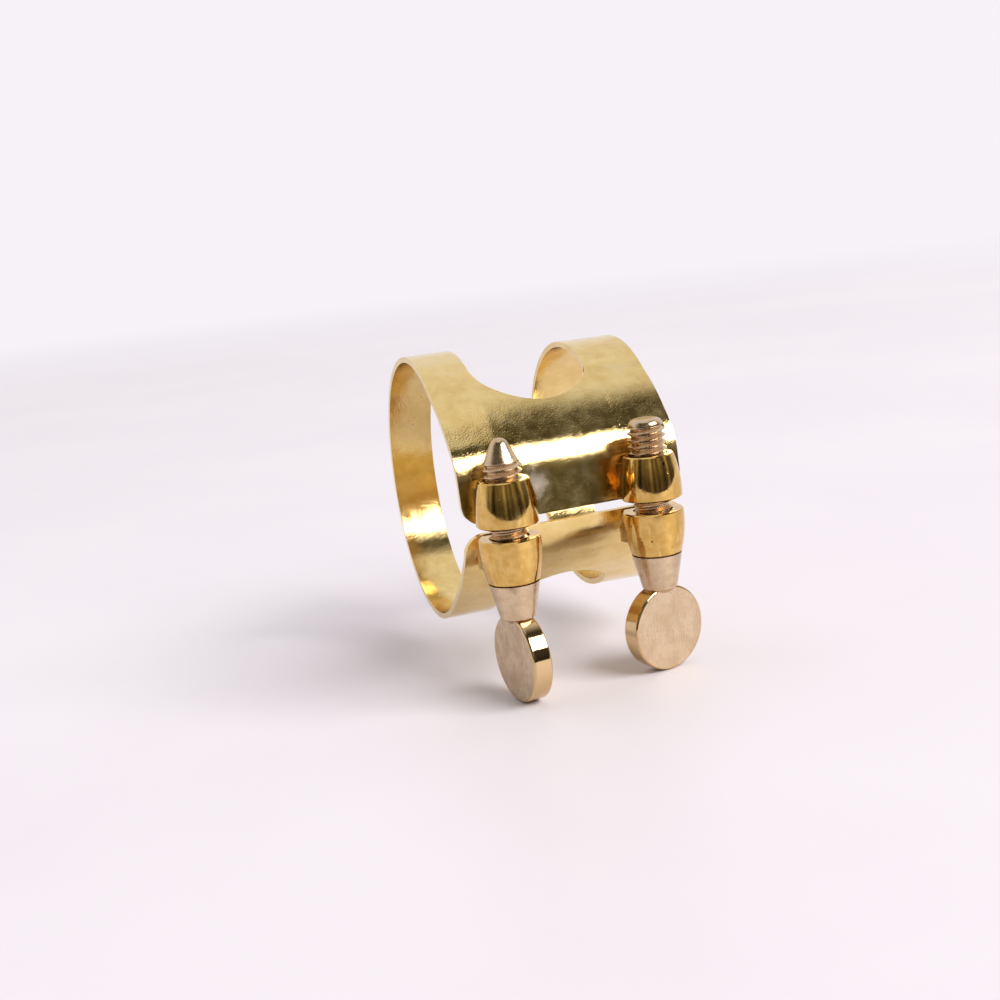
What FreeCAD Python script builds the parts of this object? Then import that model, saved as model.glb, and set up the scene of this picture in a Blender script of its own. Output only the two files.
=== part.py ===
import FreeCAD, Part
import math
import os

import Sketcher

# Two-screw saxophone ligature: a rolled sheet-metal band, four turned barrels
# soldered beside its split, and two thumbscrews that draw the barrels together.
#
# Frame, in millimetres: the origin is the centre of the bore, +X runs along the
# bore from the wide strap to the narrow strap, -Y is the side with the split,
# where the reed lies, and +Z is up, along the screws towards their tips.

SIZES = {
    # band: a strip rolled to a round back and a softly flattened front
    "sheet_thickness": 0.55,
    "wide_back_radius": 13.05,
    "narrow_back_radius": 12.5,
    "wide_strap_end": -10.7,
    "wide_strap_inner": -6.35,
    "narrow_strap_inner": 5.4,
    "narrow_strap_end": 10.7,
    "corner_depth": 10.24,
    "corner_height": 2.03,
    "corner_radius": 4.83,
    "front_radius": 31.5,
    # split between the two ends of the strip, below the bore's centre
    "split_height": -1.7,
    "split_gap": 0.87,
    "split_corner_radius": 1.8,
    # window that opens the whole back between the two straps
    "window_middle": -0.48,
    "window_half_width": 5.72,
    "window_end_start": -5.94,
    "window_end_depth": 4.1,
    "window_corner_radius": 3.14,
    "window_back": 15.0,
    # barrels, on two axes across the split
    "screw_middle": -0.26,
    "screw_spacing": 14.0,
    "wide_screw_y": -17.45,
    "narrow_screw_y": -16.8,
    "barrel_gap": 1.12,
    "barrel_length": 4.03,
    "barrel_rim_radius": 2.78,
    "barrel_end_radius": 2.3,
    "barrel_side_radius": 11.0,
    "barrel_chamfer": 0.1,
    "barrel_bore_radius": 1.81,
    "barrel_standoff": 0.1,
    # solder that joins each barrel to the band
    "solder_foot_half_width": 2.35,
    "solder_top_half_width": 1.95,
    "solder_rise": 0.95,
    "solder_foot_depth": 0.42,
    "solder_core_radius": 2.1,
    "solder_start": 0.95,
    "solder_length": 2.75,
    # thumbscrews, each one turned piece with a disc for the fingers
    "thread_radius": 1.75,
    "thread_pitch": 0.6,
    "thread_depth": 0.34,
    "thread_start": -1.8,
    "groove_overcut": 0.1,
    "shank_radius": 1.72,
    "shoulder_clearance": 0.05,
    "shoulder_radius": 2.3,
    "neck_radius": 1.6,
    "neck_foot_radius": 0.9,
    "cone_height": 3.2,
    "neck_foot_height": 0.5,
    "disc_radius": 3.96,
    "disc_thickness": 1.84,
    "disc_edge_radius": 0.22,
    "disc_drop": 11.66,
    "tip_base_radius": 1.58,
    "pointed_tip_end": 8.24,
    "pointed_tip_height": 2.1,
    "pointed_nose_radius": 0.9,
    "domed_tip_end": 7.84,
    "domed_nose_radius": 0.7,
    "wide_disc_turn": -80.5,
    "narrow_disc_turn": 17.0,
}

# The two screw axes: their place along the bore and the screw's tip.
STATIONS = {
    "wide": {"across": "(sizes.screw_middle - sizes.screw_spacing / 2)", "tip": "pointed"},
    "narrow": {"across": "(sizes.screw_middle + sizes.screw_spacing / 2)", "tip": "domed"},
}

V = FreeCAD.Vector
UP = V(0, 0, 1)
QUARTER = math.pi / 2
doc = FreeCAD.newDocument("ligature")

sheet = doc.addObject("Spreadsheet::Sheet", "sizes")
for row, (alias, number) in enumerate(SIZES.items(), start=1):
    sheet.set(f"A{row}", alias)
    sheet.set(f"B{row}", str(number))
    sheet.setAlias(f"B{row}", alias)
doc.recompute()


# ---------------------------------------------------------------- helpers
def value(text):
    """The number that an expression over the sheet gives."""
    return float(sheet.evalExpression(text.replace("sizes.", "")))


def new_body(label):
    body = doc.addObject("PartDesign::Body", label)
    body.Label = label
    return body


def new_sketch(body, role, name, offset=None):
    """A sketch on one of the body's own origin planes, moved along its normal by an expression."""
    plane = next(f for f in body.Origin.OriginFeatures if f.Role == role)
    sketch = body.newObject("Sketcher::SketchObject", name)
    sketch.AttachmentSupport = [(plane, "")]
    sketch.MapMode = "FlatFace"
    if offset:
        sketch.setExpression("AttachmentOffset.Base.z", offset)
    return sketch


def constrain(sketch, kind, *ends):
    sketch.addConstraint(Sketcher.Constraint(kind, *ends))


def dimension(sketch, name, kind, ends, text):
    """One named driving dimension, bound to an expression over the sheet."""
    index = sketch.addConstraint(Sketcher.Constraint(kind, *ends, value(text)))
    sketch.renameConstraint(index, name)
    sketch.setExpression(f"Constraints.{name}", text)


def place_point(sketch, name, line, end, across, up):
    """Fixes a point at (across, up) from the sketch's origin; a zero puts it on the axis."""
    for kind, axis, text in (("DistanceX", -2, across), ("DistanceY", -1, up)):
        if abs(value(text)) < 1e-9:
            constrain(sketch, "PointOnObject", line, end, axis)
        elif value(text) > 0:
            dimension(sketch, f"{name}_{kind}", kind, (-1, 1, line, end), text)
        else:
            dimension(sketch, f"{name}_{kind}", kind, (line, end, -1, 1), f"-({text})")


def bulging_side(a, b, radius):
    """An arc from a to b that bulges away from the turning axis."""
    along = (b - a) / 2
    inward = V(-abs(along.y), math.copysign(along.x, along.x * along.y), 0).normalize()
    centre = (a + b) / 2 + inward * math.sqrt(radius**2 - along.Length**2)
    angles = sorted(math.atan2(p.y - centre.y, p.x - centre.x) for p in (a, b))
    return Part.ArcOfCircle(Part.Circle(centre, UP, radius), *angles)


def draw_outline(sketch, corners, bulges=()):
    """A closed outline through corners given as pairs of expressions.

    bulges gives, by the index of the corner where it starts, the radius
    expression of a side that is an arc.
    """
    bulges = dict(bulges)
    points = [V(value(x), value(y), 0) for x, y in corners]
    starts = []
    for index, (a, b) in enumerate(zip(points, points[1:] + points[:1])):
        if index in bulges:
            sketch.addGeometry(bulging_side(a, b, value(bulges[index])), False)
        else:
            sketch.addGeometry(Part.LineSegment(a, b), False)
        # an arc runs anticlockwise, so on a side that goes down it starts at the lower corner
        starts.append(2 if index in bulges and b.y < a.y else 1)
    for index, start in enumerate(starts):
        following = (index + 1) % len(points)
        constrain(sketch, "Coincident", index, 3 - start, following, starts[following])
        place_point(sketch, f"corner_{index}", index, start, *corners[index])
    for index, text in bulges.items():
        dimension(sketch, f"bulge_{index}", "Radius", (index,), text)


def cut_pocket(body, name, sketch, length=None, both_ways=False):
    """A pocket; it has to remove something, and leave most of the body."""
    before = body.Shape.Volume
    pocket = body.newObject("PartDesign::Pocket", name)
    pocket.Profile = sketch
    pocket.Type = "Length" if length else "ThroughAll"
    pocket.Midplane = both_ways
    if length:
        pocket.Length = length
        pocket.Reversed = True
    doc.recompute()
    if not 0.5 * before < pocket.Shape.Volume < before - 0.1:
        raise RuntimeError(f"{body.Label}: {name} removed the wrong amount")
    return pocket


def revolve(body, name, sketch):
    solid = body.newObject("PartDesign::Revolution", name)
    solid.Profile = sketch
    solid.ReferenceAxis = (sketch, ["V_Axis"])
    solid.Angle = 360
    doc.recompute()


def stand_on_axis(piece, station):
    """Puts a piece on a screw axis, its local origin in the middle of the barrels' gap."""
    piece.setExpression("Placement.Base.x", STATIONS[station]["across"])
    piece.setExpression("Placement.Base.y", f"sizes.{station}_screw_y")
    piece.setExpression("Placement.Base.z", "sizes.split_height")


# ---------------------------------------------------------------- band
def mirrored(point):
    return V(point.x, -point.y, 0)


def arc_between(centre, radius, start, end):
    angles = [math.atan2(p.y - centre.y, p.x - centre.x) for p in (start, end)]
    return Part.ArcOfCircle(Part.Circle(centre, UP, radius), *angles)


def draw_band_outline(sketch, prefix, texts):
    """One closed outline of the band's section, drawn in (Y, Z).

    A round back runs by two tangent lines into two rounded corners and a
    slightly convex front. Each piece is tangent to the next.
    """
    names = ("back", "corner", "front", "depth", "height")
    back, corner, front, depth, height = (value(texts[name]) for name in names)
    corner_centre = V(-depth, height, 0)
    slope = math.atan2(height, -depth) - math.acos((back - corner) / corner_centre.Length)
    normal = V(math.cos(slope), math.sin(slope), 0)
    front_centre = V(-depth + math.sqrt((front - corner) ** 2 - height**2), 0, 0)
    shoulder = normal * back
    bend = corner_centre + normal * corner
    meet = front_centre + (corner_centre - front_centre).normalize() * front
    first = sketch.GeometryCount
    sketch.addGeometry(
        [
            arc_between(V(0, 0, 0), back, mirrored(shoulder), shoulder),
            Part.LineSegment(shoulder, bend),
            arc_between(corner_centre, corner, bend, meet),
            arc_between(front_centre, front, meet, mirrored(meet)),
            arc_between(mirrored(corner_centre), corner, mirrored(meet), mirrored(bend)),
            Part.LineSegment(mirrored(bend), mirrored(shoulder)),
        ],
        False,
    )
    ids = list(range(first, first + 6))
    for here, there in zip(ids, ids[1:] + ids[:1]):
        constrain(sketch, "Tangent", here, 2, there, 1)
    constrain(sketch, "Coincident", ids[0], 3, -1, 1)
    constrain(sketch, "Symmetric", ids[2], 3, ids[4], 3, -1)
    constrain(sketch, "Equal", ids[2], ids[4])
    dimension(sketch, f"{prefix}_back", "Radius", (ids[0],), texts["back"])
    dimension(sketch, f"{prefix}_corner", "Radius", (ids[2],), texts["corner"])
    dimension(sketch, f"{prefix}_front", "Radius", (ids[3],), texts["front"])
    dimension(sketch, f"{prefix}_depth", "DistanceX", (ids[2], 3, -1, 1), texts["depth"])
    dimension(sketch, f"{prefix}_height", "DistanceY", (-1, 1, ids[2], 3), texts["height"])


def band_section(body, name, offset, back):
    """The sheet's section at one station: the wide outline, scaled to the station's back radius."""
    ratio = f"{back} / sizes.wide_back_radius"
    sketch = new_sketch(body, "YZ_Plane", name, offset)
    for prefix, inset in (("outer", ""), ("inner", " - sizes.sheet_thickness")):
        texts = {
            "back": f"{back}{inset}",
            "corner": f"sizes.corner_radius * {ratio}{inset}",
            "front": f"sizes.front_radius * {ratio}{inset}",
            "depth": f"sizes.corner_depth * {ratio}",
            "height": f"sizes.corner_height * {ratio}",
        }
        draw_band_outline(sketch, prefix, texts)
    doc.recompute()
    return sketch


def make_band():
    """The waist tapers between two straps, whose backs are plain cylinders that seat on the mouthpiece."""
    body = new_body("band")
    wide = band_section(body, "wide_section", "sizes.wide_strap_inner", "sizes.wide_back_radius")
    narrow = band_section(body, "narrow_section", "sizes.narrow_strap_inner", "sizes.narrow_back_radius")
    waist = body.newObject("PartDesign::AdditiveLoft", "waist")
    waist.Profile = wide
    waist.Sections = [narrow]
    waist.Ruled = True
    doc.recompute()
    for name, sketch, outwards, length in (
        ("wide_strap", wide, True, "sizes.wide_strap_inner - sizes.wide_strap_end"),
        ("narrow_strap", narrow, False, "sizes.narrow_strap_end - sizes.narrow_strap_inner"),
    ):
        strap = body.newObject("PartDesign::Pad", name)
        strap.Profile = sketch
        strap.Reversed = outwards
        strap.setExpression("Length", length)
        doc.recompute()
    cut_window(body)
    cut_split(body)
    return body


def cut_window(body):
    """Seen from above, the window has straight sides and a three-arc basket-handle end."""
    sketch = new_sketch(body, "XY_Plane", "window_outline")
    half, corner, rise = (value(f"sizes.window_{k}") for k in ("half_width", "corner_radius", "end_depth"))
    start, middle, back = (value(f"sizes.window_{k}") for k in ("end_start", "middle", "back"))
    crown = ((half - corner) ** 2 + rise**2 - corner**2) / (2 * (rise - corner))
    crown_centre = V(middle, start - rise + crown, 0)
    right_centre = V(middle + half - corner, start, 0)
    left_centre = V(middle - half + corner, start, 0)
    lean = math.atan2(right_centre.y - crown_centre.y, right_centre.x - crown_centre.x)
    left, right = middle - half, middle + half
    sketch.addGeometry(
        [
            Part.LineSegment(V(left, start, 0), V(left, back, 0)),
            Part.LineSegment(V(left, back, 0), V(right, back, 0)),
            Part.LineSegment(V(right, back, 0), V(right, start, 0)),
            Part.ArcOfCircle(Part.Circle(right_centre, UP, corner), lean, 0.0),
            Part.ArcOfCircle(Part.Circle(crown_centre, UP, crown), math.pi - lean, lean),
            Part.ArcOfCircle(Part.Circle(left_centre, UP, corner), math.pi, math.pi - lean),
        ],
        False,
    )
    constrain(sketch, "Coincident", 0, 2, 1, 1)
    constrain(sketch, "Coincident", 1, 2, 2, 1)
    for here, here_end, there, there_end in ((2, 2, 3, 2), (3, 1, 4, 2), (4, 1, 5, 2), (5, 1, 0, 1)):
        constrain(sketch, "Tangent", here, here_end, there, there_end)
    constrain(sketch, "Vertical", 0)
    constrain(sketch, "Vertical", 2)
    constrain(sketch, "Horizontal", 1)
    constrain(sketch, "Equal", 3, 5)
    dimension(sketch, "corner", "Radius", (3,), "sizes.window_corner_radius")
    dimension(sketch, "left", "DistanceX", (0, 1, -1, 1), "sizes.window_half_width - sizes.window_middle")
    dimension(sketch, "width", "DistanceX", (0, 1, 2, 2), "2 * sizes.window_half_width")
    dimension(sketch, "start", "DistanceY", (3, 3, -1, 1), "-sizes.window_end_start")
    dimension(sketch, "back", "DistanceY", (-1, 1, 1, 1), "sizes.window_back")
    dimension(sketch, "crown", "Radius", (4,), (
        "((sizes.window_half_width - sizes.window_corner_radius) ^ 2 + sizes.window_end_depth ^ 2"
        " - sizes.window_corner_radius ^ 2) / (2 * (sizes.window_end_depth - sizes.window_corner_radius))"
    ))
    doc.recompute()
    cut_pocket(body, "window", sketch, both_ways=True)


def cut_split(body):
    """The gap between the strip's two ends, which flares where the strip's four corners are rounded."""
    sketch = new_sketch(body, "XZ_Plane", "split_outline")
    names = ("wide_strap_end", "narrow_strap_end", "split_corner_radius")
    left, right, rounding = (value(f"sizes.{name}") for name in names)
    low = value("sizes.split_height - sizes.split_gap / 2")
    high = low + value("sizes.split_gap")

    def corner(x, z, first):
        return Part.ArcOfCircle(Part.Circle(V(x, z, 0), UP, rounding), first, first + QUARTER)

    sketch.addGeometry(
        [
            Part.LineSegment(V(left + rounding, high, 0), V(right - rounding, high, 0)),
            corner(right - rounding, high + rounding, 3 * QUARTER),
            Part.LineSegment(V(right, high + rounding, 0), V(right, low - rounding, 0)),
            corner(right - rounding, low - rounding, 0),
            Part.LineSegment(V(right - rounding, low, 0), V(left + rounding, low, 0)),
            corner(left + rounding, low - rounding, QUARTER),
            Part.LineSegment(V(left, low - rounding, 0), V(left, high + rounding, 0)),
            corner(left + rounding, high + rounding, 2 * QUARTER),
        ],
        False,
    )
    for here in range(8):
        there = (here + 1) % 8
        constrain(sketch, "Tangent" if {here, there} & {0, 4} else "Coincident", here, 2, there, 1)
    for arc, level_end in ((1, 2), (3, 1), (5, 2), (7, 1)):
        constrain(sketch, "Horizontal", arc, 3, arc, level_end)
        if arc != 1:
            constrain(sketch, "Equal", 1, arc)
    for line, direction in ((0, "Horizontal"), (2, "Vertical"), (4, "Horizontal"), (6, "Vertical")):
        constrain(sketch, direction, line)
    dimension(sketch, "corner", "Radius", (1,), "sizes.split_corner_radius")
    dimension(sketch, "gap", "DistanceY", (4, 1, 0, 2), "sizes.split_gap")
    dimension(sketch, "low", "DistanceY", (4, 1, -1, 1), "sizes.split_gap / 2 - sizes.split_height")
    dimension(sketch, "left", "DistanceX", (6, 1, -1, 1), "-sizes.wide_strap_end")
    dimension(sketch, "right", "DistanceX", (-1, 1, 2, 1), "sizes.narrow_strap_end")
    doc.recompute()
    cut_pocket(body, "split", sketch, length=2 * value("sizes.wide_back_radius"))


# ---------------------------------------------------------------- barrels
def front_distance(station):
    """How far the band's outer front stands from the bore's centre, as an expression."""
    reach = "sqrt((sizes.front_radius - sizes.corner_radius) ^ 2 - sizes.corner_height ^ 2)"
    return (
        f"((sizes.corner_depth - {reach} + sizes.front_radius)"
        f" * sizes.{station}_back_radius / sizes.wide_back_radius)"
    )


def make_barrel(station, side):
    """A turned barrel with a bulging side, a bore for the screw and a flat towards the band."""
    body = new_body(f"{side}_barrel_{station}")
    sign = "" if side == "upper" else "-"
    near = "sizes.barrel_gap / 2"
    far = "sizes.barrel_gap / 2 + sizes.barrel_length"
    corners = [
        ("sizes.barrel_bore_radius", f"{sign}({near})"),
        ("sizes.barrel_rim_radius - sizes.barrel_chamfer", f"{sign}({near})"),
        ("sizes.barrel_rim_radius", f"{sign}({near} + sizes.barrel_chamfer)"),
        ("sizes.barrel_end_radius", f"{sign}({far} - sizes.barrel_chamfer)"),
        ("sizes.barrel_end_radius - sizes.barrel_chamfer", f"{sign}({far})"),
        ("sizes.barrel_bore_radius", f"{sign}({far})"),
    ]
    profile = new_sketch(body, "XZ_Plane", "profile")
    draw_outline(profile, corners, {2: "sizes.barrel_side_radius"})
    doc.recompute()
    revolve(body, "turning", profile)

    flat = new_sketch(body, "XY_Plane", "seat_outline")
    depth = f"-sizes.{station}_screw_y - {front_distance(station)} - sizes.barrel_standoff"
    reach = "2 * sizes.barrel_rim_radius"
    draw_outline(flat, [(f"-{reach}", depth), (reach, depth), (reach, reach), (f"-{reach}", reach)])
    doc.recompute()
    cut_pocket(body, "seat", flat, both_ways=True)
    stand_on_axis(body, station)
    return body


def make_solder(station, side, barrel, band):
    """Solder between a barrel and the band: a wedge that both cut back, so it fills their crevices."""
    name = f"{side}_solder_{station}"
    front = front_distance(station)
    near, far = "sizes.solder_start", "(sizes.solder_start + sizes.solder_length)"
    low, high = (near, far) if side == "upper" else (f"-{far}", f"-{near}")
    wedge = doc.addObject("Part::Wedge", f"{name}_wedge")
    faces = {
        "Xmin": "-sizes.solder_top_half_width",
        "Xmax": "sizes.solder_top_half_width",
        "X2min": "-sizes.solder_foot_half_width",
        "X2max": "sizes.solder_foot_half_width",
        "Ymin": f"-{front} - sizes.solder_rise",
        "Ymax": f"-{front} + sizes.solder_foot_depth",
        "Zmin": low,
        "Z2min": low,
        "Zmax": high,
        "Z2max": high,
    }
    for face, text in faces.items():
        wedge.setExpression(face, text)
    wedge.setExpression("Placement.Base.x", STATIONS[station]["across"])
    wedge.setExpression("Placement.Base.z", "sizes.split_height")
    core = doc.addObject("Part::Cylinder", f"{name}_core")
    core.setExpression("Radius", "sizes.solder_core_radius")
    core.setExpression("Height", "2 * (sizes.solder_start + sizes.solder_length)")
    stand_on_axis(core, station)
    core.setExpression("Placement.Base.z", "sizes.split_height - sizes.solder_start - sizes.solder_length")
    solder = wedge
    for step, tool in (("on_band", band), ("clear_of_bore", core), ("round_barrel", barrel)):
        cut = doc.addObject("Part::Cut", f"{name}_{step}")
        cut.Base = solder
        cut.Tool = tool
        solder = cut
    solder.Label = name
    doc.recompute()
    return solder


# ---------------------------------------------------------------- thumbscrews
def make_screw(station):
    """A thumbscrew in one piece: disc, cone, shank, thread and its own kind of tip."""
    body = new_body(f"thumbscrew_{station}")
    add_disc(body)
    shoulder = "-(sizes.barrel_gap / 2 + sizes.barrel_length + sizes.shoulder_clearance)"
    neck = f"({shoulder} - sizes.cone_height)"
    thread_rise = "(sizes.thread_radius - sizes.tip_base_radius)"
    pointed = STATIONS[station]["tip"] == "pointed"
    tip_end = "sizes.pointed_tip_end" if pointed else "sizes.domed_tip_end"
    tip_height = "sizes.pointed_tip_height" if pointed else "sizes.domed_nose_radius"
    nose = "sizes.pointed_nose_radius" if pointed else "sizes.domed_nose_radius"
    tip_base = f"({tip_end} - {tip_height})"
    stem = [
        ("0", f"{neck} - sizes.neck_foot_height"),
        ("sizes.neck_foot_radius", f"{neck} - sizes.neck_foot_height"),
        ("sizes.neck_radius", neck),
        ("sizes.shoulder_radius", shoulder),
        ("sizes.shank_radius", shoulder),
        ("sizes.shank_radius", "sizes.thread_start"),
        ("sizes.thread_radius", "sizes.thread_start + sizes.thread_radius - sizes.shank_radius"),
        ("sizes.thread_radius", f"{tip_base} - {thread_rise}"),
        ("sizes.tip_base_radius", tip_base),
    ]
    if pointed:
        # the cone leans from the tip's base to where it meets the round nose, tangent to it
        far = f"sqrt(sizes.tip_base_radius ^ 2 + ({tip_height} - {nose}) ^ 2)"
        slope = f"(acos({nose} / {far}) - atan(({tip_height} - {nose}) / sizes.tip_base_radius))"
        stem.append((f"{nose} * cos({slope})", f"{tip_end} - {nose} + {nose} * sin({slope})"))
    else:
        stem.append((f"sizes.tip_base_radius - {nose}", tip_end))
    stem.append(("0", tip_end))
    profile = new_sketch(body, "XZ_Plane", "stem_profile")
    nose_side = len(stem) - 2 if pointed else len(stem) - 3
    draw_outline(profile, stem, {nose_side: nose})
    doc.recompute()
    revolve(body, "stem", profile)
    cut_thread(body, tip_base)
    stand_on_axis(body, station)
    body.Placement.Rotation = FreeCAD.Rotation(UP, 1)
    body.setExpression("Placement.Rotation.Angle", f"sizes.{station}_disc_turn")
    return body


def add_disc(body):
    """The flat finger disc, its two edges rounded."""
    face = new_sketch(body, "XZ_Plane", "disc_outline")
    face.addGeometry(Part.Circle(V(0, -value("sizes.disc_drop"), 0), UP, value("sizes.disc_radius")), False)
    constrain(face, "PointOnObject", 0, 3, -2)
    dimension(face, "radius", "Radius", (0,), "sizes.disc_radius")
    dimension(face, "drop", "DistanceY", (0, 3, -1, 1), "sizes.disc_drop")
    disc = body.newObject("PartDesign::Pad", "disc")
    disc.Profile = face
    disc.Midplane = True
    disc.setExpression("Length", "sizes.disc_thickness")
    doc.recompute()
    edges = enumerate(disc.Shape.Edges, start=1)
    rims = [f"Edge{k}" for k, edge in edges if isinstance(edge.Curve, Part.Circle)]
    rounding = body.newObject("PartDesign::Fillet", "disc_edges")
    rounding.Base = (disc, rims)
    rounding.setExpression("Radius", "sizes.disc_edge_radius")
    doc.recompute()


def cut_thread(body, top):
    """A helical groove from the shank up to the tip, 7/8 of the pitch wide at the crest."""
    groove = new_sketch(body, "XZ_Plane", "thread_groove")
    start = "(sizes.thread_start + sizes.thread_pitch)"
    outer = "sizes.thread_radius + sizes.groove_overcut"
    root = "sizes.thread_radius - sizes.thread_depth"
    root_half = "sizes.thread_pitch / 16"
    mouth_half = "(sizes.thread_pitch * (7 + 6 * sizes.groove_overcut / sizes.thread_depth) / 16)"
    draw_outline(groove, [
        (root, f"{start} - {root_half}"),
        (outer, f"{start} - {mouth_half}"),
        (outer, f"{start} + {mouth_half}"),
        (root, f"{start} + {root_half}"),
    ])
    doc.recompute()
    before = body.Shape.Volume
    thread = body.newObject("PartDesign::SubtractiveHelix", "thread")
    thread.Profile = groove
    thread.ReferenceAxis = (groove, ["V_Axis"])
    thread.Mode = "pitch-height-angle"
    thread.LeftHanded = False
    thread.Reversed = False
    thread.setExpression("Pitch", "sizes.thread_pitch")
    thread.setExpression("Height", f"{top} - {start}")
    doc.recompute()
    if not 0.8 * before < body.Shape.Volume < before - 1.0:
        raise RuntimeError(f"{body.Label}: the thread removed the wrong amount")


# ---------------------------------------------------------------- assembly
band = make_band()
pieces = [band]
for station in STATIONS:
    for side in ("upper", "lower"):
        barrel = make_barrel(station, side)
        pieces += [barrel, make_solder(station, side, barrel, band)]
    pieces.append(make_screw(station))
doc.recompute()

failed = [o.Label for o in doc.Objects if {"Invalid", "Error"} & set(o.State)]
if failed:
    raise RuntimeError(f"these objects failed: {failed}")
for piece in pieces:
    if piece.Shape.isNull() or not piece.Shape.isValid() or not piece.Shape.Solids:
        raise RuntimeError(f"{piece.Label} has no valid solid")

os.makedirs("parts", exist_ok=True)
for piece in pieces:
    piece.Shape.exportStep(f"parts/{piece.Label}.step")
    print(f"{piece.Label:22s} solids {len(piece.Shape.Solids)}  volume {piece.Shape.Volume:8.3f}")
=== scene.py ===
import math

import bpy
import numpy as np
from mathutils import Matrix, Vector


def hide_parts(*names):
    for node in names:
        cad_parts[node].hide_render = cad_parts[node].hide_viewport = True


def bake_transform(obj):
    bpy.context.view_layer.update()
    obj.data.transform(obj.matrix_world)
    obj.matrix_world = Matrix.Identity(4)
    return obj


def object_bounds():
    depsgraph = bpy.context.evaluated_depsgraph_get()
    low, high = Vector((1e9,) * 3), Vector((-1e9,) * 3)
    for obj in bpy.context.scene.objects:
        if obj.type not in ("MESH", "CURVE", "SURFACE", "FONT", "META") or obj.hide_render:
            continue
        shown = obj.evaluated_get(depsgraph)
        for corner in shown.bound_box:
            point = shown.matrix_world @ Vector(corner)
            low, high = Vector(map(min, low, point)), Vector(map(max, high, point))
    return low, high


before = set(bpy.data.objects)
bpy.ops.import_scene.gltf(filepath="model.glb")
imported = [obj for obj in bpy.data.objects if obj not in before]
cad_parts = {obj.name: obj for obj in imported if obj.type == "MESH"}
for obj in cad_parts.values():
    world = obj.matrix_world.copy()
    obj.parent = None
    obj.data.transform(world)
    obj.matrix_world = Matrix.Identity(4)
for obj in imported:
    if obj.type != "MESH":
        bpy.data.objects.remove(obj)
cad_low, cad_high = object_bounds()

MM = 0.001
BACKDROP = (0.93, 0.89, 0.94)

# The sheet's sizes, in millimetres, as the CAD model has them.
THICKNESS = 0.55
WIDE_BACK, NARROW_BACK = 13.05, 12.5
WIDE_END, WIDE_INNER, NARROW_INNER, NARROW_END = -10.7, -6.35, 5.4, 10.7
CORNER_DEPTH, CORNER_HEIGHT, CORNER_RADIUS, FRONT_RADIUS = 10.24, 2.03, 4.83, 31.5
SPLIT_HEIGHT, SPLIT_GAP, SPLIT_CORNER = -1.7, 0.87, 1.8
WINDOW_MIDDLE, WINDOW_HALF, WINDOW_START = -0.48, 5.72, -5.94
WINDOW_DEPTH, WINDOW_CORNER = 4.1, 3.14

# How finely the sheet is meshed: rows around the section, columns along the bore, and points on
# the outline's front, corner and back. The first points climb, and are found by their height.
FRONT_ROWS, BACK_ROWS = 40, 110
WIDE_COLUMNS, WINDOW_COLUMNS, NARROW_COLUMNS = 16, 56, 18
FRONT_POINTS, CORNER_POINTS, BACK_POINTS = 40, 60, 200
CLIMBING_POINTS = 60
EDGE_BEVEL = 0.07

# Where the real sheet stands outside the CAD's section, in millimetres: two long waves, rounder
# shoulders between the corners and the round back, and ends that flare beside the split.
LONG_WAVE, SHORT_WAVE = 0.022, 0.014
SHOULDER_BULGE, SHOULDER_MIDDLE, SHOULDER_HALF = 0.34, math.radians(36), math.radians(18)
FLARE, FLARE_REACH = 0.33, 4.2

# Each finger disc's centre and turn, and a tarnished spot on the cone above it. The polished rim
# comes in between two distances from the disc's edge, and ends between two heights on the cone.
DISC_RADIUS = 3.96
RIM_STARTS, RIM_FULL = 0.26, 0.14
RIM_FADES, RIM_GONE = 3.4, 4.0
DISCS = {
    "wide": ((-7.26, -17.45, -13.36), math.radians(-80.5), (-8.0, -19.4, -6.5)),
    "narrow": ((6.74, -16.8, -13.36), math.radians(17.0), (4.6, -17.2, -8.2)),
}


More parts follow.
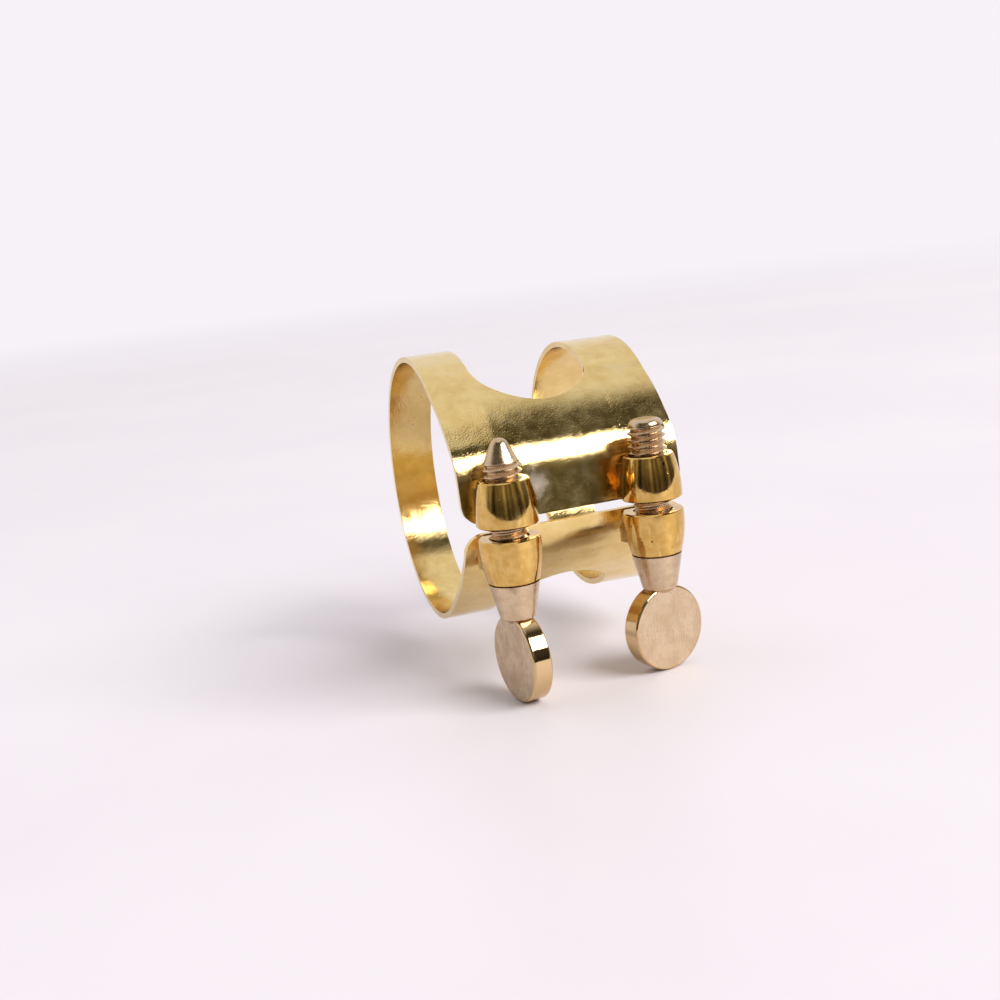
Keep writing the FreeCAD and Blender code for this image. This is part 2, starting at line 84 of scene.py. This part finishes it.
# ---------------------------------------------------------------- node helpers
class Graph:
    """A short way to write a material's nodes."""

    def __init__(self, name):
        self.material = bpy.data.materials.new(name)
        self.material.use_nodes = True
        self.nodes = self.material.node_tree.nodes
        self.links = self.material.node_tree.links
        self.shader = self.nodes["Principled BSDF"]

    def add(self, kind, **settings):
        node = self.nodes.new(kind)
        for key, value in settings.items():
            setattr(node, key, value)
        return node

    def join(self, source, target):
        self.links.new(source, target)

    def coordinates(self, scale=(1, 1, 1), offset=(0, 0, 0)):
        """Object coordinates in millimetres, stretched by scale."""
        place = self.add("ShaderNodeTexCoord")
        mapping = self.add("ShaderNodeMapping")
        mapping.inputs["Scale"].default_value = [s / MM for s in scale]
        mapping.inputs["Location"].default_value = offset
        self.join(place.outputs["Object"], mapping.inputs["Vector"])
        return mapping.outputs["Vector"]

    def noise(self, vector, scale, detail=2.0, roughness=0.5, distortion=0.0):
        node = self.add("ShaderNodeTexNoise")
        node.inputs["Scale"].default_value = scale
        node.inputs["Detail"].default_value = detail
        node.inputs["Roughness"].default_value = roughness
        node.inputs["Distortion"].default_value = distortion
        self.join(vector, node.inputs["Vector"])
        return node.outputs["Fac"]

    def cells(self, vector, scale):
        node = self.add("ShaderNodeTexVoronoi", feature="F1")
        node.inputs["Scale"].default_value = scale
        self.join(vector, node.inputs["Vector"])
        return node.outputs["Distance"]

    def spread(self, value, low, high, to_low=0.0, to_high=1.0):
        """Maps low..high smoothly to to_low..to_high, clamped."""
        node = self.add("ShaderNodeMapRange", interpolation_type="SMOOTHSTEP")
        node.inputs["From Min"].default_value = low
        node.inputs["From Max"].default_value = high
        node.inputs["To Min"].default_value = to_low
        node.inputs["To Max"].default_value = to_high
        self.join(value, node.inputs["Value"])
        return node.outputs["Result"]

    def math(self, operation, *values):
        node = self.add("ShaderNodeMath", operation=operation)
        for socket, value in zip(node.inputs, values):
            if isinstance(value, (int, float)):
                socket.default_value = value
            else:
                self.join(value, socket)
        return node.outputs["Value"]

    def blend(self, factor, a, b):
        """A colour between a and b; each is a colour or a socket."""
        node = self.add("ShaderNodeMix", data_type="RGBA")
        self.join(factor, node.inputs["Factor"])
        for name, value in (("A", a), ("B", b)):
            socket = next(s for s in node.inputs if s.name == name and s.type == "RGBA")
            if isinstance(value, tuple):
                socket.default_value = (*value, 1)
            else:
                self.join(value, socket)
        return next(s for s in node.outputs if s.type == "RGBA")

    def stain(self, centre, reach, ragged=1.0, depth=0.75):
        """A ragged spot around a point in millimetres, fading out at its reach."""
        place = self.coordinates(offset=[-c for c in centre])
        away = self.add("ShaderNodeVectorMath", operation="LENGTH")
        self.join(place, away.inputs[0])
        edge = self.noise(place, 0.9 / ragged, 4, 0.6)
        edge = self.math("MULTIPLY_ADD", edge, 2.4 * ragged, away.outputs["Value"])
        return self.spread(edge, reach * 0.5 + 0.6 * ragged, reach + 1.4 * ragged, depth, 0.0)

    def bump(self, height, distance, after=None):
        """Relief as deep as distance, in metres, on top of the relief given as after."""
        node = self.add("ShaderNodeBump")
        node.inputs["Strength"].default_value = 1.0
        node.inputs["Distance"].default_value = distance
        self.join(height, node.inputs["Height"])
        if after is not None:
            self.join(after, node.inputs["Normal"])
        return node.outputs["Normal"]

    def finish(self, colour, roughness, normal, metallic=1.0):
        self.join(colour, self.shader.inputs["Base Color"])
        self.join(roughness, self.shader.inputs["Roughness"])
        self.join(normal, self.shader.inputs["Normal"])
        self.shader.inputs["Metallic"].default_value = metallic
        return self.material


# ---------------------------------------------------------------- materials
def band_brass():
    """Lacquered sheet brass: a fine grain, soft smudges, faint rolling lines and a few pits, with a
    grey heat stain and a warm patch between the barrels."""
    deep, pale, smudged = (0.74, 0.53, 0.205), (0.83, 0.64, 0.285), (0.80, 0.63, 0.34)
    pitted, heated, warm = (0.30, 0.18, 0.06), (0.72, 0.65, 0.60), (0.66, 0.30, 0.07)
    g = Graph("band_brass")
    place = g.coordinates()
    along = g.coordinates(scale=(0.12, 1, 1))
    smudge = g.noise(place, 0.22, 3, 0.6, 0.4)
    cloud = g.noise(place, 0.9, 4, 0.6)
    grain = g.noise(place, 6.5, 3, 0.6)
    wave = g.noise(place, 0.8, 1, 0.4)
    lines = g.noise(along, 7.0, 2, 0.5)
    pits = g.spread(g.cells(g.coordinates(offset=(3.1, 0.7, 1.9)), 0.7), 0.025, 0.06, 0.0, 1.0)
    tone = g.math("MULTIPLY_ADD", cloud, 0.5, g.math("MULTIPLY", smudge, 0.5))
    colour = g.blend(g.spread(tone, 0.36, 0.62), deep, pale)
    colour = g.blend(g.spread(smudge, 0.6, 0.74), colour, smudged)
    colour = g.blend(pits, pitted, colour)
    grey = g.stain((-3.6, -15.0, 1.5), 1.9)
    colour = g.blend(grey, colour, heated)
    colour = g.blend(g.stain((3.8, -15.0, 1.7), 2.2), colour, warm)
    rough = g.spread(smudge, 0.35, 0.7, 0.08, 0.16)
    rough = g.math("ADD", rough, g.spread(cloud, 0.4, 0.7, 0.0, 0.05))
    rough = g.math("MULTIPLY_ADD", grey, 0.35, rough)
    dimples = g.spread(g.cells(place, 3.4), 0.05, 0.42)
    normal = g.bump(wave, 20e-6)
    normal = g.bump(grain, 9e-6, after=normal)
    normal = g.bump(dimples, 3.5e-6, after=normal)
    normal = g.bump(lines, 1.2e-6, after=normal)
    normal = g.bump(pits, 6e-6, after=normal)
    return g.finish(colour, rough, normal)


def barrel_brass():
    """Turned brass under lacquer: deep gold, fine turning rings, small pits, and one hole drawn only
    as a near-black spot of painted shade.
    """
    deep, pale, dripped = (0.63, 0.38, 0.10), (0.76, 0.49, 0.155), (0.80, 0.56, 0.22)
    pitted, painted_hole_shade = (0.10, 0.05, 0.02), (0.02, 0.012, 0.008)
    g = Graph("barrel_brass")
    place = g.coordinates()
    rings = g.noise(g.coordinates(scale=(0.05, 0.05, 1)), 9.0, 2, 0.5)
    cloud = g.noise(place, 0.9, 4, 0.6)
    drip = g.noise(g.coordinates(scale=(1, 1, 0.25)), 1.6, 3, 0.6)
    grain = g.noise(place, 3.0, 2, 0.5)
    pits = g.spread(g.cells(g.coordinates(offset=(0.4, 2.2, 0.9)), 0.62), 0.03, 0.07)
    colour = g.blend(g.spread(cloud, 0.38, 0.64), deep, pale)
    colour = g.blend(g.spread(drip, 0.56, 0.72), colour, dripped)
    colour = g.blend(pits, pitted, colour)
    # Painted shade: a near-black spot where a hole sits on the front of the narrow side's barrel;
    # the mesh has no recess there.
    colour = g.blend(g.stain((7.13, -19.2, 2.2), 0.22, 0.11, 1.0), colour, painted_hole_shade)
    rough = g.spread(drip, 0.35, 0.7, 0.07, 0.17)
    normal = g.bump(rings, 0.8e-6)
    normal = g.bump(grain, 3.2e-6, after=normal)
    normal = g.bump(pits, 20e-6, after=normal)
    return g.finish(colour, rough, normal)


def screw_brass(station):
    """Paler turned brass: a brushed upright grain with tarnish, and the disc's polished rim."""
    deep, pale, streaked = (0.56, 0.405, 0.25), (0.69, 0.525, 0.345), (0.76, 0.60, 0.43)
    polished, tarnished, pitted = (0.66, 0.46, 0.23), (0.24, 0.15, 0.085), (0.34, 0.22, 0.12)
    disc, turn, tarnish = DISCS[station]
    g = Graph(f"screw_brass_{station}")
    place = g.coordinates()
    brushed = g.noise(g.coordinates(scale=(1, 1, 0.06)), 9.0, 3, 0.6)
    cloud = g.noise(place, 0.7, 4, 0.6)
    grain = g.noise(place, 3.4, 2, 0.5)
    pits = g.spread(g.cells(place, 0.9), 0.03, 0.075)
    across = g.add("ShaderNodeVectorMath", operation="CROSS_PRODUCT")
    across.inputs[1].default_value = (math.sin(turn), -math.cos(turn), 0)
    g.join(g.coordinates(offset=[-c for c in disc]), across.inputs[0])
    away = g.add("ShaderNodeVectorMath", operation="LENGTH")
    g.join(across.outputs["Vector"], away.inputs[0])
    axes = g.add("ShaderNodeSeparateXYZ")
    g.join(place, axes.inputs[0])
    below_cone = g.spread(axes.outputs["Z"], disc[2] + RIM_FADES, disc[2] + RIM_GONE, 1.0, 0.0)
    rim = g.spread(away.outputs["Value"], DISC_RADIUS - RIM_STARTS, DISC_RADIUS - RIM_FULL)
    rim = g.math("MULTIPLY", rim, below_cone)
    colour = g.blend(g.spread(cloud, 0.36, 0.66), deep, pale)
    colour = g.blend(g.spread(brushed, 0.42, 0.62, 0.0, 0.35), colour, streaked)
    colour = g.blend(g.math("MULTIPLY", rim, 0.8), colour, polished)
    colour = g.blend(g.stain(tarnish, 0.5, 0.5), colour, tarnished)
    colour = g.blend(pits, pitted, colour)
    rough = g.spread(cloud, 0.35, 0.7, 0.16, 0.26)
    rough = g.math("ADD", rough, g.spread(brushed, 0.3, 0.7, 0.0, 0.10))
    rough = g.math("MAXIMUM", g.math("MULTIPLY_ADD", rim, -0.2, rough), 0.06)
    normal = g.bump(brushed, 1.8e-6)
    normal = g.bump(grain, 2.2e-6, after=normal)
    normal = g.bump(pits, 5e-6, after=normal)
    return g.finish(colour, rough, normal)


def solder_metal():
    """Hard solder: dull, lumpy and slightly darkened by flux."""
    g = Graph("solder")
    place = g.coordinates()
    lumps = g.noise(place, 2.0, 3, 0.6)
    cloud = g.noise(place, 1.1, 4, 0.65)
    colour = g.blend(g.spread(cloud, 0.36, 0.66), (0.42, 0.27, 0.10), (0.66, 0.47, 0.20))
    rough = g.spread(cloud, 0.35, 0.7, 0.24, 0.42)
    return g.finish(colour, rough, g.bump(lumps, 30e-6))


def floor_white():
    """Pale lavender-white board with a very faint grain; far away it fades into a glow of the
    backdrop's colour, painted light that keeps the far floor as bright as the backdrop.
    """
    g = Graph("floor_white")
    place = g.coordinates(scale=(0.01, 0.01, 0.01))
    cloud = g.noise(place, 1.2, 4, 0.6)
    colour = g.blend(g.spread(cloud, 0.35, 0.68), (0.76, 0.71, 0.755), (0.79, 0.745, 0.785))
    rough = g.spread(cloud, 0.3, 0.7, 0.42, 0.5)
    material = g.finish(colour, rough, g.bump(g.noise(place, 30.0, 2, 0.5), 1e-5), metallic=0.0)
    away = g.add("ShaderNodeVectorMath", operation="LENGTH")
    g.join(g.coordinates(), away.inputs[0])
    # Painted light: from 180 mm out to 1.1 m the floor turns into an emission glow in the backdrop
    # colour, so its far part does not darken.
    far = g.add("ShaderNodeEmission")
    far.inputs["Color"].default_value = (*BACKDROP, 1)
    mixed = g.add("ShaderNodeMixShader")
    g.join(g.spread(away.outputs["Value"], 180.0, 1100.0), mixed.inputs["Fac"])
    g.join(g.shader.outputs["BSDF"], mixed.inputs[1])
    g.join(far.outputs["Emission"], mixed.inputs[2])
    g.join(mixed.outputs["Shader"], g.nodes["Material Output"].inputs["Surface"])
    return material


# ---------------------------------------------------------------- the band's shape
def back_radius(x):
    """The outer radius of the back at x, eased from one strap to the other."""
    t = min(max((x - WIDE_INNER) / (NARROW_INNER - WIDE_INNER), 0), 1)
    return WIDE_BACK + (NARROW_BACK - WIDE_BACK) * t


def arc(middle, radius, start, end, count):
    """Points along an arc, its angles in radians."""
    turns = np.linspace(start, end, count)
    return [middle + radius * np.array([math.cos(t), math.sin(t)]) for t in turns]


def section(back):
    """The section's upper half, from the front's middle to the back's, as (y, z) points."""
    k = back / WIDE_BACK
    corner, front = CORNER_RADIUS * k, FRONT_RADIUS * k
    depth, height = CORNER_DEPTH * k, CORNER_HEIGHT * k
    centre = np.array([-depth, height])
    slope = math.atan2(height, -depth) - math.acos((back - corner) / math.hypot(depth, height))
    front_centre = np.array([-depth + math.sqrt((front - corner) ** 2 - height**2), 0.0])
    meet = math.atan2(centre[1] - front_centre[1], centre[0] - front_centre[0])
    points = arc(front_centre, front, math.pi, meet, FRONT_POINTS)
    points += arc(centre, corner, meet, slope, CORNER_POINTS)[1:]
    points += arc(np.zeros(2), back, slope, 0.0, BACK_POINTS)
    return np.array(points)


class Outline:
    """A section kept as its upper half; a point on it is found by its height, depth or length."""

    def __init__(self, back):
        self.points = section(back)
        steps = np.linalg.norm(np.diff(self.points, axis=0), axis=1)
        self.lengths = np.concatenate([[0], np.cumsum(steps)])
        self.total = self.lengths[-1]

    def at(self, length):
        return np.array([np.interp(length, self.lengths, self.points[:, k]) for k in (0, 1)])

    def by_height(self, z):
        climbing = slice(0, CLIMBING_POINTS)
        return float(np.interp(z, self.points[climbing, 1], self.lengths[climbing]))

    def by_depth(self, y):
        running = slice(CLIMBING_POINTS, None)
        return float(np.interp(y, self.points[running, 0], self.lengths[running]))

    def behind(self, length):
        """The inner face's point straight behind an outer one, along the sheet's normal."""
        step = 0.02
        run = self.at(min(length + step, self.total)) - self.at(max(length - step, 0))
        normal = np.array([run[1], -run[0]]) / np.linalg.norm(run)
        return self.at(length) + normal * THICKNESS


def window_edge(x):
    """The window's y at x: a basket-handle end between two rounded corners."""
    off = abs(x - WINDOW_MIDDLE)
    if off >= WINDOW_HALF:
        return WINDOW_START
    flat = WINDOW_HALF - WINDOW_CORNER
    crown = (flat**2 + WINDOW_DEPTH**2 - WINDOW_CORNER**2) / (2 * (WINDOW_DEPTH - WINDOW_CORNER))
    crown_y = WINDOW_START - WINDOW_DEPTH + crown
    reach = flat * crown / (crown - WINDOW_CORNER)
    if off > reach:
        return WINDOW_START - math.sqrt(WINDOW_CORNER**2 - (off - flat) ** 2)
    return crown_y - math.sqrt(crown**2 - off**2)


def split_edge(x, side):
    """The strip's end at x, above (+1) or below (-1) the split, with its two rounded corners."""
    end = min(x - WIDE_END, NARROW_END - x)
    rise = 0.0
    if end < SPLIT_CORNER:
        rise = SPLIT_CORNER - math.sqrt(max(SPLIT_CORNER**2 - (SPLIT_CORNER - end) ** 2, 0))
    return SPLIT_HEIGHT + side * (SPLIT_GAP / 2 + rise)


def eased(low, high, count):
    """Numbers from low to high, closer together at both ends."""
    return [low + (high - low) * (1 - math.cos(math.pi * k / count)) / 2 for k in range(count + 1)]


def band_columns():
    """Places along the bore, and the numbers of the two columns between which the window is."""
    left = eased(WIDE_END, WINDOW_MIDDLE - WINDOW_HALF, WIDE_COLUMNS)
    middle = eased(WINDOW_MIDDLE - WINDOW_HALF, WINDOW_MIDDLE + WINDOW_HALF, WINDOW_COLUMNS)
    right = eased(WINDOW_MIDDLE + WINDOW_HALF, NARROW_END, NARROW_COLUMNS)
    return left + middle[1:] + right[1:], WIDE_COLUMNS, WIDE_COLUMNS + WINDOW_COLUMNS


def band_lengths(outline, x):
    """Lengths around the section at x, from the strap's upper end at the split to its lower end."""
    upper_end, lower_end = split_edge(x, 1), split_edge(x, -1)
    start = outline.by_height(abs(upper_end)) * math.copysign(1, upper_end)
    finish = outline.by_height(abs(lower_end))
    edge = outline.by_depth(window_edge(x))
    far = 2 * outline.total
    around = far - 2 * edge
    lengths = [start + (edge - start) * k / FRONT_ROWS for k in range(FRONT_ROWS + 1)]
    lengths += [edge + around * k / BACK_ROWS for k in range(1, BACK_ROWS)]
    lengths += [far - edge + (edge - finish) * k / FRONT_ROWS for k in range(FRONT_ROWS + 1)]
    return lengths


def outward(x, y, z):
    """How far the real sheet stands outside the CAD's section at a point, in millimetres."""
    turn = math.atan2(z, -y)
    wave = LONG_WAVE * math.sin(2.3 * turn + 0.31 * x + 0.4)
    wave += SHORT_WAVE * math.sin(5.1 * turn - 0.55 * x + 1.7)
    shoulder = min(abs(abs(turn) - SHOULDER_MIDDLE) / SHOULDER_HALF, 1)
    flare = max(1 - abs(z - SPLIT_HEIGHT) / FLARE_REACH, 0) if y < 0 else 0
    return wave + SHOULDER_BULGE * (1 - shoulder**2) ** 2 + FLARE * flare**2


def make_band(material):
    """The rolled sheet as one closed mesh: an outer face, an inner face, and edges between them."""
    columns, first_open, last_open = band_columns()
    rows = 2 * FRONT_ROWS + BACK_ROWS
    vertices, index = [], {}
    for layer in (0, 1):
        for i, x in enumerate(columns):
            outline = Outline(back_radius(x))
            for j, length in enumerate(band_lengths(outline, x)):
                if first_open < i < last_open and FRONT_ROWS < j < FRONT_ROWS + BACK_ROWS:
                    continue
                half = length if length <= outline.total else 2 * outline.total - length
                sign = 1 if length <= outline.total else -1
                if half < 0:
                    half, sign = -half, -sign
                y, z = outline.behind(half) if layer else outline.at(half)
                z *= sign
                grow = 1 + outward(x, y, z) / math.hypot(y, z)
                vertices.append((x * MM, y * grow * MM, z * grow * MM))
                index[layer, i, j] = len(vertices) - 1

    def covered(i, j):
        """Whether there is sheet between this column and row and the next ones."""
        if first_open <= i < last_open and FRONT_ROWS <= j < FRONT_ROWS + BACK_ROWS:
            return False
        return all((0, i + a, j + b) in index for a in (0, 1) for b in (0, 1))

    filled = {(i, j) for i in range(len(columns) - 1) for j in range(rows) if covered(i, j)}
    faces = []
    for i, j in sorted(filled):
        a, b, c, d = (i, j), (i + 1, j), (i + 1, j + 1), (i, j + 1)
        faces.append([index[(0, *p)] for p in (a, b, c, d)])
        faces.append([index[(1, *p)] for p in (d, c, b, a)])
        sides = ((a, b, (i, j - 1)), (b, c, (i + 1, j)), (c, d, (i, j + 1)), (d, a, (i - 1, j)))
        for p, q, beside in sides:
            if beside not in filled:
                faces.append([index[(0, *q)], index[(0, *p)], index[(1, *p)], index[(1, *q)]])
    mesh = bpy.data.meshes.new("band_sheet")
    mesh.from_pydata(vertices, [], faces)
    mesh.validate()
    mesh.update()
    piece = bpy.data.objects.new("band_sheet", mesh)
    bpy.context.scene.collection.objects.link(piece)
    mesh.materials.append(material)
    mesh.shade_smooth()
    bevel = piece.modifiers.new("edges", "BEVEL")
    bevel.width = EDGE_BEVEL * MM
    bevel.segments = 2
    bevel.limit_method = "ANGLE"
    bevel.angle_limit = math.radians(50)
    bevel.harden_normals = True
    return piece


# ---------------------------------------------------------------- pieces
BAND = band_brass()
BARREL = barrel_brass()
SCREWS = {station: screw_brass(station) for station in DISCS}
SOLDER = solder_metal()

band = make_band(BAND)
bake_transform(band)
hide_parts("band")


def metal_of(name):
    """The material of a CAD node, by its name."""
    if "thumbscrew" in name:
        return SCREWS[name.rsplit("_", 1)[1]]
    return SOLDER if "solder" in name else BARREL


for name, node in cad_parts.items():
    if name != "band":
        node.data.materials.clear()
        node.data.materials.append(metal_of(name))

# ---------------------------------------------------------------- floor, light and camera
FLOOR_REACH, FLOOR_FRONT, FLOOR_GAP = 4.0, -0.11, 0.02 * MM
floor_corners = [
    (-FLOOR_REACH, FLOOR_FRONT, 0),
    (FLOOR_REACH, FLOOR_FRONT, 0),
    (FLOOR_REACH, FLOOR_REACH, 0),
    (-FLOOR_REACH, FLOOR_REACH, 0),
]
floor_mesh = bpy.data.meshes.new("floor")
floor_mesh.from_pydata(floor_corners, [], [(0, 1, 2, 3)])
floor = bpy.data.objects.new("floor", floor_mesh)
floor.location = (0, 0, cad_low.z - FLOOR_GAP)
floor_mesh.materials.append(floor_white())
bpy.context.scene.collection.objects.link(floor)


def direction(azimuth, elevation):
    """Towards the light: azimuth 0 is the viewer's side (-Y) and grows to the right."""
    a, e = math.radians(azimuth), math.radians(elevation)
    return Vector((math.sin(a) * math.cos(e), -math.cos(a) * math.cos(e), math.sin(e)))


def softbox(name, azimuth, elevation, distance, width, height, power):
    """A rectangular light facing the object, its sizes in metres and its power in watts."""
    lamp = bpy.data.lights.new(name, "AREA")
    lamp.shape = "RECTANGLE"
    lamp.size, lamp.size_y = width, height
    lamp.energy = power
    light = bpy.data.objects.new(name, lamp)
    towards = direction(azimuth, elevation)
    light.location = towards * distance
    light.rotation_mode = "QUATERNION"
    light.rotation_quaternion = towards.to_track_quat("Z", "Y")
    bpy.context.scene.collection.objects.link(light)


softbox("key_softbox", 42, 39, 3.0, 2.3, 1.5, 108)

# The room on the viewer's side as (place, level): by the sine of the height above the horizon, and
# in upright strips around the room, for its windows, stands and the photographer.
ROOM_LEVELS = (
    (0.0, 0.08), (0.12, 0.13), (0.32, 0.24), (0.62, 0.10),
    (0.925, 0.05), (0.938, 0.30), (0.952, 0.95),
)
STRIP_LEVELS = ((0.36, 0.2), (0.5, 0.9), (0.66, 3.2))
ROOM_WARMTH = 0.66
BEHIND = (0.92, 0.90, 0.93)


def studio():
    """A pale studio: bright behind, dim on the viewer's side, and an even backdrop to the camera."""
    world = bpy.data.worlds.new("studio")
    bpy.context.scene.world = world
    world.use_nodes = True
    nodes, links = world.node_tree.nodes, world.node_tree.links
    background = nodes["Background"]
    place = nodes.new("ShaderNodeTexCoord")
    axes = nodes.new("ShaderNodeSeparateXYZ")
    links.new(place.outputs["Generated"], axes.inputs[0])

    def stops(source, levels, warm=1.0):
        """A ramp of grey levels, whose dim ones are a little warm."""
        ramp = nodes.new("ShaderNodeValToRGB")
        bar = ramp.color_ramp
        for k, (position, level) in enumerate(levels):
            element = bar.elements[k] if k == 0 else bar.elements.new(position)
            element.position = position
            green, blue = (0.98, 1.0) if level > 0.5 else (0.92, warm)
            element.color = (level, level * green, level * blue, 1)
        bar.elements.remove(bar.elements[-1])
        links.new(source, ramp.inputs["Fac"])
        return ramp.outputs["Color"]

    def mix(kind, factor, a, b):
        node = nodes.new("ShaderNodeMix")
        node.data_type, node.blend_type = "RGBA", kind
        if isinstance(factor, float):
            node.inputs["Factor"].default_value = factor
        else:
            links.new(factor, node.inputs["Factor"])
        sockets = {s.name: s for s in node.inputs if s.type == "RGBA"}
        for name, value in (("A", a), ("B", b)):
            if isinstance(value, tuple):
                sockets[name].default_value = (*value, 1)
            else:
                links.new(value, sockets[name])
        return next(s for s in node.outputs if s.type == "RGBA")

    def spread(source, low, high, to_low, to_high):
        node = nodes.new("ShaderNodeMapRange")
        node.interpolation_type = "SMOOTHSTEP"
        node.inputs["From Min"].default_value = low
        node.inputs["From Max"].default_value = high
        node.inputs["To Min"].default_value = to_low
        node.inputs["To Max"].default_value = to_high
        links.new(source, node.inputs["Value"])
        return node.outputs["Result"]

    room = stops(axes.outputs["Z"], ROOM_LEVELS, ROOM_WARMTH)
    turn = nodes.new("ShaderNodeMath")
    turn.operation = "ARCTAN2"
    links.new(axes.outputs["X"], turn.inputs[0])
    links.new(axes.outputs["Y"], turn.inputs[1])
    around = nodes.new("ShaderNodeCombineXYZ")
    links.new(turn.outputs["Value"], around.inputs[0])
    strips = nodes.new("ShaderNodeTexNoise")
    strips.inputs["Scale"].default_value = 2.6
    strips.inputs["Detail"].default_value = 2.0
    links.new(around.outputs["Vector"], strips.inputs["Vector"])
    near_horizon = spread(axes.outputs["Z"], 0.35, 0.60, 1.0, 0.0)
    streaks = stops(strips.outputs["Fac"], STRIP_LEVELS)
    streaks = mix("MIX", near_horizon, (1.0, 1.0, 1.0), streaks)
    front = mix("MULTIPLY", 1.0, room, streaks)
    behind = spread(axes.outputs["Y"], -0.2, 0.3, 0.0, 1.0)
    shown = mix("MIX", behind, front, BEHIND)
    ray = nodes.new("ShaderNodeLightPath")
    links.new(mix("MIX", ray.outputs["Is Camera Ray"], shown, BACKDROP), background.inputs["Color"])


studio()
bpy.context.scene.view_settings.view_transform = "Standard"

# The camera stands in front of the split, to its left and a little above: degrees and millimetres.
YAW, PITCH, ROLL = 15.86, 11.123, -6.545
SHIFT_RIGHT, SHIFT_UP, DISTANCE = 2.35, 2.867, 134.2044
SENSOR, LENS = 36.0, 47.7


def place_camera():
    yaw, pitch, roll = (math.radians(a) for a in (YAW, PITCH, ROLL))
    ahead = math.cos(pitch)
    forward = Vector((math.sin(yaw) * ahead, math.cos(yaw) * ahead, -math.sin(pitch)))
    level = Vector((math.cos(yaw), -math.sin(yaw), 0))
    upright = level.cross(forward)
    right = level * math.cos(roll) + upright * math.sin(roll)
    up = -level * math.sin(roll) + upright * math.cos(roll)
    centre = -(right * SHIFT_RIGHT + up * SHIFT_UP + forward * DISTANCE) * MM
    lens = bpy.data.cameras.new("camera")
    lens.sensor_width = SENSOR
    lens.lens = LENS
    lens.clip_start, lens.clip_end = 0.005, 20
    camera = bpy.data.objects.new("camera", lens)
    turn = Matrix((right, up, -forward)).transposed()
    camera.matrix_world = Matrix.Translation(centre) @ turn.to_4x4()
    bpy.context.scene.collection.objects.link(camera)
    bpy.context.scene.camera = camera


place_camera()
